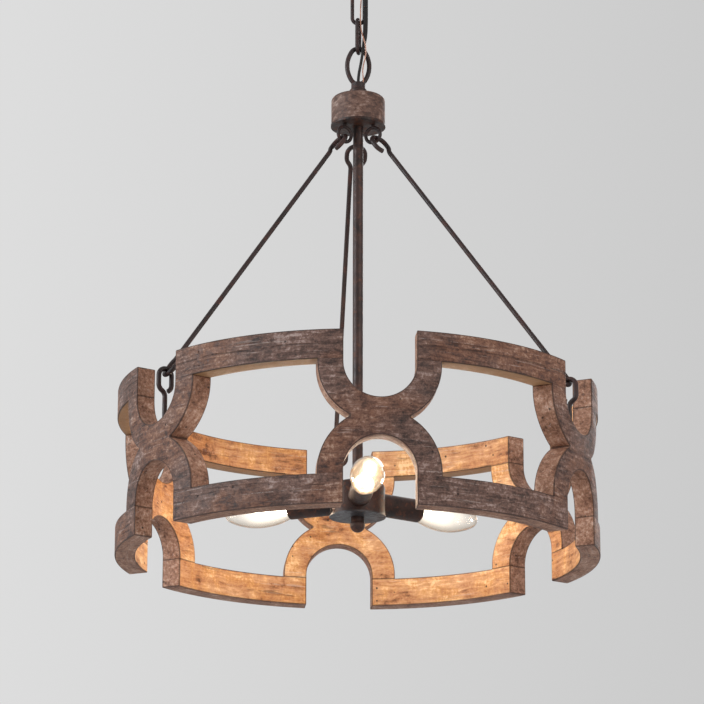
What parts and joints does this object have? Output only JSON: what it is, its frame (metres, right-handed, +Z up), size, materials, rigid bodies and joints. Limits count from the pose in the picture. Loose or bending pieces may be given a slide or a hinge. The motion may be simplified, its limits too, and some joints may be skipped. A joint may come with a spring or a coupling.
{
  "type": "chandelier",
  "caption": "Pendant chandelier: an open fretted wooden ring hangs on bent metal rods from a turned cap and chain, round a stem whose hub carries outward candle bulbs.",
  "frame": {"origin": "on the ceiling plane, at the middle of the mounting strap, above the stem", "axes": "+Z up, out of the ceiling face; X along the strap's slots; the front cross of the ring faces -Y"},
  "size_m": [0.5, 0.5, 0.7428],
  "materials": {
    "wood": "weathered, matt",
    "rust": "rust bronze, satin",
    "iron": "dark grey, satin",
    "zinc": "zinc plated",
    "holder": "glazed",
    "screw_cap": "nickel plated",
    "bulb": "clear, lit",
    "filament": "glowing",
    "cord": "matt",
    "ground": "clear cover over copper"
  },
  "bodies": {
    "canopy": {"mounting_strap": "zinc", "canopy_nipple": "zinc", "strap_nut": "zinc", "canopy_shell": "rust", "canopy_collar": "rust", "canopy_loop": "rust"},
    "link_1": {"chain_link_1": "rust"},
    "link_2": {"chain_link_2": "rust"},
    "link_3": {"chain_link_3": "rust"},
    "fixture": {"hang_loop": "rust", "cap_collar": "rust", "wood_cap": "wood", "cap_plate": "iron", "cap_eyes": "rust", "cap_nut": "zinc", "stem_tube": "rust", "hub_cup": "rust", "hub_nut": "zinc", "hub_cover": "iron", "finial": "rust", "socket_nuts": "zinc", "socket_cover_1": "rust", "socket_cover_2": "rust", "socket_cover_3": "rust", "lampholder_1": "holder", "lampholder_2": "holder", "lampholder_3": "holder", "power_cord": "cord", "ground_wire": "ground"},
    "ring": {"cross_1": "wood", "cross_2": "wood", "cross_3": "wood", "cross_4": "wood", "cross_5": "wood", "cross_6": "wood", "top_rail_1": "wood", "top_rail_2": "wood", "top_rail_3": "wood", "top_rail_4": "wood", "top_rail_5": "wood", "top_rail_6": "wood", "bottom_rail_1": "wood", "bottom_rail_2": "wood", "bottom_rail_3": "wood", "bottom_rail_4": "wood", "bottom_rail_5": "wood", "bottom_rail_6": "wood", "ring_hooks": "rust"},
    "right_rod": {"rod_right": "rust"},
    "back_rod": {"rod_back": "rust"},
    "left_rod": {"rod_left": "rust"},
    "bulb_1": {"bulb_cap_1": "screw_cap", "bulb_glass_1": "bulb", "bulb_filament_1": "filament"},
    "bulb_2": {"bulb_cap_2": "screw_cap", "bulb_glass_2": "bulb", "bulb_filament_2": "filament"},
    "bulb_3": {"bulb_cap_3": "screw_cap", "bulb_glass_3": "bulb", "bulb_filament_3": "filament"}
  },
  "joints": [
    {"name": "canopy_swing", "type": "hinge", "parent": "canopy", "child": "link_1", "pos_m": [0, 0, -0.0835], "axis": [1, 0, 0], "range_deg": [-20, 20], "deforming": ["power_cord", "ground_wire"]},
    {"name": "link_1_swing", "type": "hinge", "parent": "link_1", "child": "link_2", "pos_m": [0, 0, -0.1167], "axis": [0, 1, 0], "range_deg": [-20, 20], "deforming": ["power_cord", "ground_wire"]},
    {"name": "link_2_swing", "type": "hinge", "parent": "link_2", "child": "link_3", "pos_m": [0, 0, -0.1504], "axis": [1, 0, 0], "range_deg": [-20, 20], "deforming": ["power_cord", "ground_wire"]},
    {"name": "link_3_swing", "type": "hinge", "parent": "link_3", "child": "fixture", "pos_m": [0, 0, -0.1841], "axis": [0.2924, 0.9563, 0], "range_deg": [-20, 20], "deforming": ["power_cord", "ground_wire"]},
    {"name": "ring_sway", "type": "hinge", "parent": "fixture", "child": "ring", "pos_m": [0, 0, -0.25649], "axis": [0, 1, 0], "range_deg": [-5, 5]},
    {"name": "right_rod_sway", "type": "hinge", "parent": "fixture", "child": "right_rod", "pos_m": [0.0182, -0.01051, -0.28562], "axis": [0, 1, 0], "range_deg": [-6, 6]},
    {"name": "back_rod_sway", "type": "hinge", "parent": "fixture", "child": "back_rod", "pos_m": [0, 0.02101, -0.28562], "axis": [0, 1, 0], "range_deg": [-6, 6]},
    {"name": "left_rod_sway", "type": "hinge", "parent": "fixture", "child": "left_rod", "pos_m": [-0.0182, -0.01051, -0.28562], "axis": [0, 1, 0], "range_deg": [-6, 6]},
    {"name": "bulb_1_out", "type": "slide", "parent": "fixture", "child": "bulb_1", "axis": [0, -1, 0], "range_m": [0, 0.03]},
    {"name": "bulb_2_out", "type": "slide", "parent": "fixture", "child": "bulb_2", "axis": [0.866, 0.5, 0], "range_m": [0, 0.03]},
    {"name": "bulb_3_out", "type": "slide", "parent": "fixture", "child": "bulb_3", "axis": [-0.866, 0.5, 0], "range_m": [0, 0.03]}
  ],
  "couplings": [
    {"joint": "right_rod_sway", "follows": "ring_sway", "ratio": 1.0988},
    {"joint": "back_rod_sway", "follows": "ring_sway", "ratio": 1.0988},
    {"joint": "left_rod_sway", "follows": "ring_sway", "ratio": 1.0988}
  ]
}
